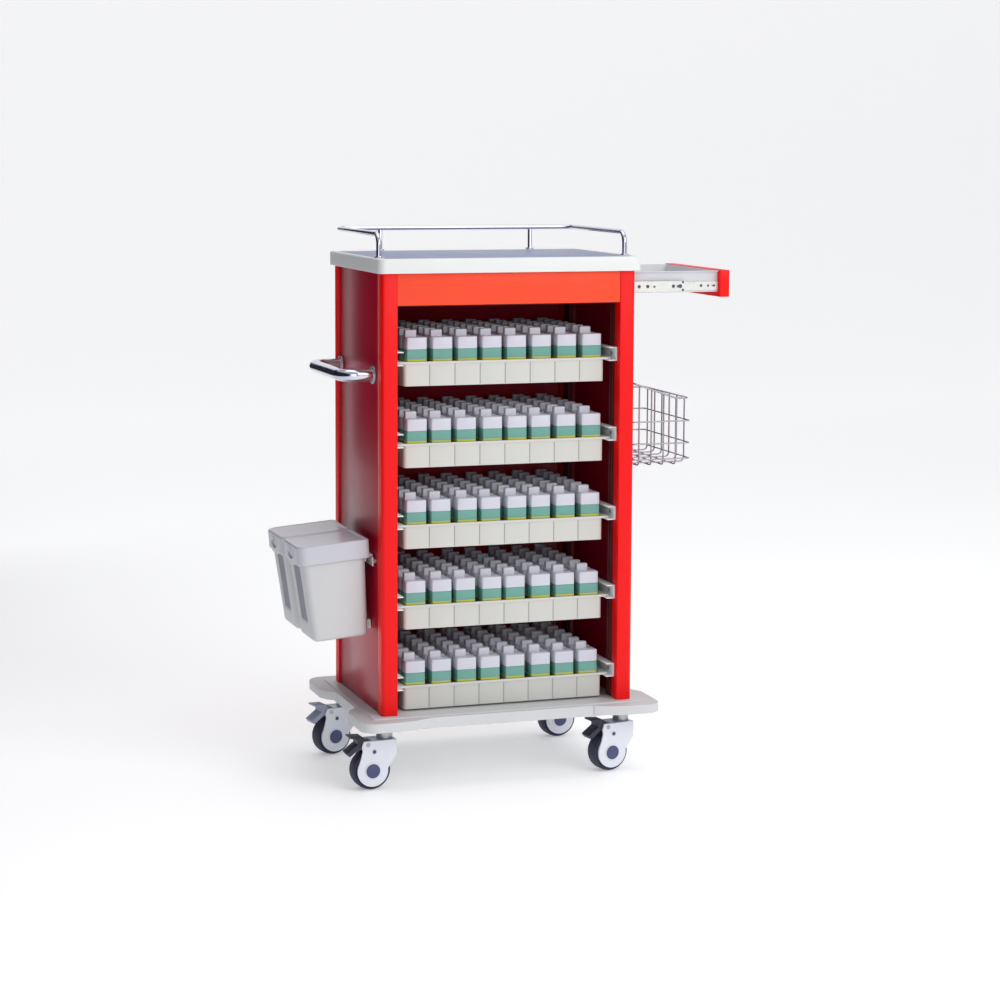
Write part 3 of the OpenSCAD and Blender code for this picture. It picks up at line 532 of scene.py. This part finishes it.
LID_L, LID_W, LID_SKIRT, LID_EDGE = 148.0, 135.0, 38.0, 4.0
BIN_H, BIN_LIP, BIN_WALL = 197.0, 5.0, 3.0
BIN_OUTER_X, BIN_FLARE_X = -129.0, 13.0
HINGE_X, HINGE_Z, HINGE_CUT_X, HINGE_CUT_Y = -10.0, -9.0, -12.0, 64.0
END_SAMPLES = 26


def ease(v):
    v = min(1.0, max(0.0, v))
    return v * v * (3 - 2 * v)


def no_relief(y, z):
    return 0.0


def strip_relief(y, z):
    """How deep the upright strip in a bin's outer end lies."""
    return 2.0 * ease(min(30 - abs(y), z + 164, -42 - z) / 4)


def pocket_relief(y, z):
    """Finger pocket in the lid's outer end, inside a raised rim."""
    d = (abs(y / 23) ** 2.6 + abs((z + 20) / 10.5) ** 2.6) ** (1 / 2.6)
    rim = 1.2 * ease((1.25 - d) / 0.15) * ease((d - 0.75) / 0.15)
    return 3.2 * ease((1.0 - d) / 0.2) - rim


def end_points(x, flat, z, relief):
    """Points down the outer end of a loop, sunk by relief(y, z)."""
    points = []
    for k in range(1, END_SAMPLES):
        y = flat - 2 * flat * k / END_SAMPLES
        points.append((x + relief(y, z), y, z))
    return points


def bin_rise(z):
    """Share of a bin's height at z, from 0 at its foot to 1 at its lip."""
    return (z + BIN_H) / (BIN_H - BIN_LIP)


def bin_loop(z, inset, relief=no_relief):
    """Outline of a bin's body at height z, drawn in by inset."""
    rise = bin_rise(z)
    x0 = BIN_OUTER_X - BIN_FLARE_X * rise + inset
    x1 = -15 + 8 * rise - inset
    y = 56 + 6.5 * rise - inset
    r = max(4, 14 + 2 * rise - inset)
    return round_loop(x0, x1, -y, y, z, r) + end_points(x0, y - r, z, relief)


def bin_shell():
    """Loops of a bin's body: up its outside, over its lip and down its inside."""
    foot, heel = 8, 7
    loops = [bin_loop(-BIN_H + foot - rise, inset) for inset, rise in reversed(fillet(foot, 5))]
    for z in (-170, -165, -163, -161, -150, -100, -56, -47, -45, -43, -40, -12):
        loops.append(bin_loop(z, 0, strip_relief))
    loops += [bin_loop(-BIN_LIP - 1, 0), bin_loop(-BIN_LIP, 0.8), bin_loop(-BIN_LIP, 1.8)]
    loops += [bin_loop(z, BIN_WALL) for z in (-6, -60, -140)]
    loops += [bin_loop(-BIN_H + foot + BIN_WALL - rise, BIN_WALL + inset) for inset, rise in fillet(heel)]
    return loops


def lid_foot(x, y):
    """Lower edge of the lid: deep at the outer end, cut away around the hinge."""
    if x > HINGE_CUT_X and abs(y) < HINGE_CUT_Y:
        return -LID_EDGE - 0.4
    if x < -LID_L + 6:
        return -LID_SKIRT - 4 * ease((30 - abs(y)) / 12)
    return -LID_SKIRT


def lid_loop(part, inset, relief=None, level=None):
    """Outline of the lid; part runs from 0 at its lower edge to 1 under its rounded top."""
    x0 = -LID_L + inset
    y = LID_W / 2 - inset
    far = max(2, 22 - inset)
    near = max(1, 10 - inset)
    ring = round_loop(x0, -inset, -y, y, 0, (far, near, near, far))
    plan = ring + end_points(x0, y - far, 0, no_relief)
    loop = []
    for px, py, _ in plan:
        z = level if level is not None else lid_foot(px, py) * (1 - part) - LID_EDGE * part
        sunk = relief(py, z) if relief and px <= x0 + 0.01 else 0.0
        loop.append((px + sunk, py, z))
    return loop


def lid_shell():
    """Loops of the lid: down its inside from the roof, round its foot and up its outside."""
    loops = [lid_loop(0, 12, level=-2.5), lid_loop(0, 4, level=-2.6), lid_loop(1, 2.4)]
    loops += [lid_loop(0.0, 2.4), lid_loop(0.0, 1.2), lid_loop(0.02, 0.3)]
    for part in (0.06, 0.15, 0.22, 0.28, 0.34, 0.4, 0.5, 0.6, 0.68, 0.74, 0.8, 0.86, 0.93):
        loops.append(lid_loop(part, 0, pocket_relief))
    for inset, rise in fillet(LID_EDGE):
        loops.append(lid_loop(1, inset, level=-LID_EDGE + rise))
    loops += [lid_loop(1, 8, level=0), lid_loop(1, 9, level=-0.7), lid_loop(1, 12, level=-0.8)]
    return loops


def build_bin(name, side):
    to_row = bin_frame(side)
    body = name + "_waste_bin"
    lid = name + "_waste_lid"
    bm = bmesh.new()
    loft(bm, bin_shell(), to_row)
    for s in (-1, 1):
        def across(a, b, c, s=s):
            return to_row(HINGE_X + a, s * c, HINGE_Z + b)
        annulus(bm, [(2.6, 50), (4.5, 50), (4.5, 62.6), (2.6, 62.6)], across, 24)
    place(bm, name + "_bin_shell", "bin_plastic", body, (name + "_bin",))

    # A dark slab set in the recessed strip of each bin's outer end: painted shade for the recess.
    bm = bmesh.new()
    outer = []
    inner = []
    for y, z in ((-26, -160), (26, -160), (26, -47), (-26, -47)):
        x = BIN_OUTER_X - BIN_FLARE_X * bin_rise(z)
        outer.append((x + 1.6, y, z))
        inner.append((x + 3.4, y, z))
    loft(bm, [outer, inner], to_row)
    place(bm, name + "_bin_strip", "bin_painted_shade", body)

    bm = bmesh.new()
    for s in (-1, 1):
        y0, y1 = sorted((s * 12, s * 46))
        heel0, heel1 = sorted((s * 12, s * 26))
        for x0, x1, ya, yb, z0, z1 in ((-11.5, -5, y0, y1, -48, -36), (-6, 9.3, y0, y1, -39.2, -36),
                                       (7.3, 9.3, y0, y1, -49, -36.2),
                                       (-17, -0.9, heel0, heel1, -190, -172)):
            loft(bm, slab_loops(x0, x1, ya, yb, z0, z1, 0.9, 0.6), to_row)
    place(bm, name + "_bin_hooks", "runner_plastic", body)

    bm = bmesh.new()
    loft(bm, lid_shell(), to_row)
    for s in (-1, 1):
        tube(bm, [(HINGE_X, s * 56, HINGE_Z), (HINGE_X, s * 66, HINGE_Z)], 2.5, to_row, Vector((1, 0, 0)),
             sides=20)
    place(bm, name + "_lid_shell", "lid_plastic", lid, (name + "_bin_lid",))


# ---- Wire basket ----------------------------------------------------------------------------

def build_basket():
    """Bent-wire basket: U-shaped wires both ways, three girth rings and a sloping rim."""
    wire_r, rim_r = 1.6, 2.0
    x0, x1, y0, y1 = 273.0, 395.0, -160.0, 80.0
    low, high, back = 636.0, 770.0, 33.0
    slope = 95.0
    out = 2 * wire_r + 0.02
    bm = bmesh.new()
    bays = 4.5
    for i in range(4):
        x = x0 + (i + 0.5) * (x1 - x0) / bays
        top = high + back * max(0, 1 - (x - x0) / slope) - 1.5
        path = [(x, y0, top), (x, y0, low - out), (x, y1, low - out), (x, y1, top)]
        tube(bm, rounded_path(path, 9), wire_r, at_cart, Vector((1, 0, 0)))
    for j in range(6):
        y = y0 + (j + 0.5) * (y1 - y0) / 6
        path = [(x0, y, high + back - 1.5), (x0, y, low), (x1, y, low), (x1, y, high - 1.5)]
        tube(bm, rounded_path(path, 9), wire_r, at_cart, Vector((0, 1, 0)))
    for z in (low + 9, low + 41, low + 87):
        path = [(x0 - out, y0 - out, z), (x1 + out, y0 - out, z), (x1 + out, y1 + out, z),
                (x0 - out, y1 + out, z)]
        tube(bm, rounded_path(path, 7, True), wire_r, at_cart, Vector((0, 0, 1)), True)
    rim = []
    for y, points in ((y0, (x0, x0 + slope, x1)), (y1, (x1, x0 + slope, x0))):
        for x in points:
            rim.append((x, y, high + back if x == x0 else high))
    tube(bm, rounded_path(rim, 8, True), rim_r, at_cart, Vector((0, 0, 1)), True, 12)
    # The wires' chrome is darkened as a painted reflection of dark surroundings.
    place(bm, "basket_wires", "wire_chrome", "basket", ("wire_basket",))


# ---- Casters --------------------------------------------------------------------------------

CORNERS = ("front_left", "front_right", "rear_left", "rear_right")
CASTER_X, CASTER_Y, TRAIL, WHEEL_Z = 255.0, 153.0, 31.0, 40.0
CASTER_YAW = {"front_left": 3, "front_right": 9, "rear_left": 12, "rear_right": 5}


def caster_frame(corner, side):
    """Maps (x, up, out) about the wheel's centre, with out away from side, to the row frame."""
    yaw = math.radians(CASTER_YAW[corner])
    cx = CASTER_X if "right" in corner else -CASTER_X
    cy = CASTER_Y if "rear" in corner else -CASTER_Y

    def to_row(x, up, out):
        px, py = x - TRAIL, side * out
        return at_cart(cx + px * math.cos(yaw) - py * math.sin(yaw),
                       cy + px * math.sin(yaw) + py * math.cos(yaw), WHEEL_Z + up)
    return to_row


def build_caster(corner):
    swivel = corner + "_swivel"
    refine(corner + "_fork", 1.8, 4)
    refine(corner + "_rim", 0.5)
    refine(corner + "_tyre", 0)
    # The rear pedals take the lightened copy of the pedal plastic, a painted reflection; the pedals are all
    # alike.
    refine(corner + "_pedal", 1.2, 3, "pedal_plastic" if "front" in corner else "pedal_painted_reflection")
    hub = bmesh.new()
    rings = bmesh.new()
    steel = bmesh.new()
    for side in (-1, 1):
        frame_of = caster_frame(corner, side)

        def screw(a, b, c, frame_of=frame_of):
            return frame_of(a + 3, b + 39, c)

        def pivot(a, b, c, frame_of=frame_of):
            return frame_of(a - 10, b + 54, c)
        turned(hub, [(0, 18), (14.6, 18), (14.6, 22.2), (14.0, 22.9), (9, 23.5), (0, 23.7)], frame_of, 40)
        turned(hub, [(0, 20), (4.0, 20), (4.0, 21.7), (3.4, 22.0), (0, 22.1)], screw, 24)
        annulus(rings, [(14.7, 20), (17.6, 20), (17.2, 22.0), (16.2, 22.9), (14.7, 22.6)], frame_of, 40)
        annulus(rings, [(4.1, 20), (6.2, 20), (5.8, 21.9), (4.6, 22.2), (4.1, 21.8)], screw, 24)
        turned(steel, [(0, 16), (3, 16), (3, 21.2), (2.4, 21.8), (0, 21.9)], pivot, 20)
        annulus(steel, [(3.05, 20.6), (4.6, 20.6), (4.6, 21.5), (3.05, 21.6)], pivot, 24)
        turned(steel, [(0, 0), (5, 0), (5, 17.5), (0, 17.5)], frame_of, 32)
    place(hub, corner + "_hub_caps", "cap_navy", swivel, (corner + "_pins",))
    place(rings, corner + "_cap_rings", "caster_white", swivel)
    place(steel, corner + "_axle", "zinc", swivel)


# ---- Room and camera ------------------------------------------------------------------------

def stage_sheet(name, rows, mat):
    """A one-sided sheet through rows of points, kept out of the object."""
    bm = bmesh.new()
    grid = [[bm.verts.new(p) for p in row] for row in rows]
    for low, high in zip(grid, grid[1:]):
        for i in range(len(low) - 1):
            bm.faces.new((low[i], low[i + 1], high[i + 1], high[i]))
    mesh = bpy.data.meshes.new(name)
    bm.to_mesh(mesh)
    bm.free()
    for face in mesh.polygons:
        face.use_smooth = True
    mesh.materials.append(mat)
    sheet = bpy.data.objects.new(name, mesh)
    bpy.context.scene.collection.objects.link(sheet)
    return sheet


def softbox(name, spot, aim, width, height, power):
    data = bpy.data.lights.new(name, "AREA")
    data.shape = "RECTANGLE"
    data.size = width
    data.size_y = height
    data.energy = power
    lamp = bpy.data.objects.new(name, data)
    lamp.location = spot
    lamp.rotation_euler = (Vector(aim) - Vector(spot)).to_track_quat("-Z", "Y").to_euler()
    bpy.context.scene.collection.objects.link(lamp)


def build_room():
    """White sweep, dark cards on the left that the paint and chrome mirror, and soft lights."""
    floor_mat = surface("floor", (0.93, 0.93, 0.935, 1), 0.6, tint=0.005, grain=200, bump=0.01,
                        specular=0.2)
    glow = floor_mat.node_tree.nodes["Principled BSDF"]
    glow.inputs["Emission Color"].default_value = (1, 1, 1, 1)
    glow.inputs["Emission Strength"].default_value = 0.30
    half, back, height, sweep = 12.0, 10.0, 8.0, 3.5
    profile = [(-half, 0.0)]
    for k in range(17):
        a = math.radians(90 * k / 16)
        profile.append((back - sweep + sweep * math.sin(a), sweep - sweep * math.cos(a)))
    profile.append((back, height))
    stage_sheet("studio_floor", [[(s * half, y, z - 0.0005) for y, z in profile] for s in (-1, 1)], floor_mat)

    card_mat = surface("card", (0.02, 0.02, 0.035, 1), 0.9, tint=0.02, specular=0.1)
    corners = ((-2.3, -2.6), (-2.3, 1.2), (-1.9, 2.4), (-0.76, 3.0))
    card = stage_sheet("dark_card", [[(x, y, z) for x, y in corners] for z in (0.3, 2.6)], card_mat)
    card.visible_camera = False

    world = bpy.data.worlds.new("studio")
    world.use_nodes = True
    world.node_tree.nodes["Background"].inputs["Color"].default_value = (0.96, 0.97, 1.0, 1)
    world.node_tree.nodes["Background"].inputs["Strength"].default_value = 0.55
    bpy.context.scene.world = world
    softbox("key_light", (1.6, -3.2, 2.6), (0, 0, 0.6), 2.6, 2.6, 58)
    softbox("fill_light", (-1.2, -3.4, 1.4), (0, 0, 0.6), 1.6, 2.0, 14)
    softbox("top_light", (0.2, 0.2, 3.6), (0, 0, 0.8), 3.0, 3.0, 34)


def build_camera():
    yaw, pitch, roll = 0.329, 0.1129, 0.005
    focal_px, frame_px, sensor = 2462.9, 1000.0, 36.0
    axis_px = 80.0
    forward = Vector((math.sin(yaw), math.cos(yaw), 0))
    right = Vector((math.cos(yaw), -math.sin(yaw), 0))
    up = Vector((0, 0, 1))
    look = forward * math.cos(pitch) - up * math.sin(pitch)
    above = up * math.cos(pitch) + forward * math.sin(pitch)
    across = right * math.cos(roll) + above * math.sin(roll)
    above = above * math.cos(roll) - right * math.sin(roll)
    data = bpy.data.cameras.new("photo_camera")
    data.sensor_width = sensor
    data.lens = focal_px / frame_px * sensor
    data.shift_y = -axis_px / frame_px
    data.clip_end = 100
    camera = bpy.data.objects.new("photo_camera", data)
    spot = at_cart(-1604.4, -4815.9, 1294.6)
    camera.matrix_world = Matrix((
        (across.x, above.x, -look.x, spot.x),
        (across.y, above.y, -look.y, spot.y),
        (across.z, above.z, -look.z, spot.z),
        (0, 0, 0, 1)))
    bpy.context.scene.collection.objects.link(camera)
    bpy.context.scene.camera = camera


build_cabinet()
build_worktop()
build_base()
for n in range(1, 6):
    build_tray(n)
    build_boxes(n)
build_drawer()
build_bin("front", -1)
build_bin("rear", 1)
build_basket()
for corner in CORNERS:
    build_caster(corner)
build_room()
build_camera()
bpy.context.scene.view_settings.view_transform = "Standard"
bpy.context.scene.view_settings.look = "None"
